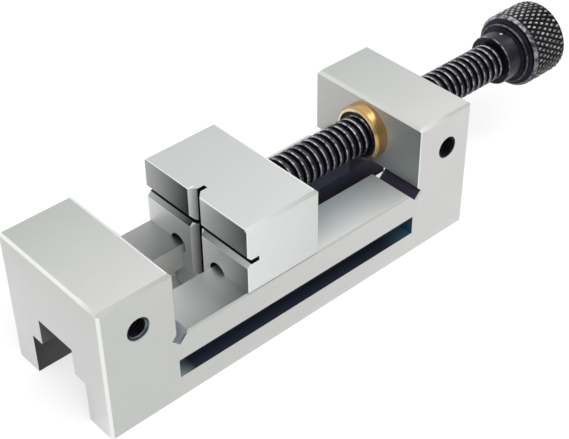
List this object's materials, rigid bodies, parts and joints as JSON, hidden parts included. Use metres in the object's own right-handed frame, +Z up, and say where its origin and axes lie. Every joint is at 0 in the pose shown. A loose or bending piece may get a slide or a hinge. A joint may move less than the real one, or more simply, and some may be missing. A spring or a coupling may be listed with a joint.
{
  "type": "precision grinding vise",
  "caption": "Low ground steel vise: jaw sliding on a slotted bed, pushed by a black screw with a knurled knob through a brass nut; V grooves in the moving jaw.",
  "frame": {"origin": "on the fixed jaw's end face, at the middle of its width, level with the base", "axes": "+X along the bed from the fixed jaw towards the knob, +Y across the jaws, +Z up from the base"},
  "size_m": [0.2204, 0.05, 0.052],
  "materials": {
    "ground_steel": "fine ground, satin",
    "brass": "turned, satin",
    "black_oxide_steel": "blackened, worn bright on its crests",
    "hardened_steel": "ground",
    "seal_rubber": "matte"
  },
  "bodies": {
    "base": {"vise_body": "ground_steel", "spindle_nut": "brass", "nut_wiper_ring": "seal_rubber", "nut_lock_screw": "black_oxide_steel"},
    "jaw": {"movable_jaw": "ground_steel", "keeper_plate": "ground_steel", "keeper_screws": "black_oxide_steel", "keeper_washers": "hardened_steel", "retaining_pin": "hardened_steel", "thrust_pad": "hardened_steel"},
    "spindle": {"spindle_screw": "black_oxide_steel", "knurled_knob": "black_oxide_steel", "knob_pin": "hardened_steel"}
  },
  "joints": [
    {"name": "jaw_slide", "type": "slide", "parent": "base", "child": "jaw", "axis": [1, 0, 0], "range_m": [-0.02795, 0.0406]},
    {"name": "spindle_turn", "type": "hinge", "parent": "jaw", "child": "spindle", "pos_m": [0.07, 0, 0.038], "axis": [1, 0, 0], "range_deg": [-3355, 4873]}
  ],
  "couplings": [
    {"joint": "spindle_turn", "follows": "jaw_slide", "rad_per_m": 2094.4}
  ]
}
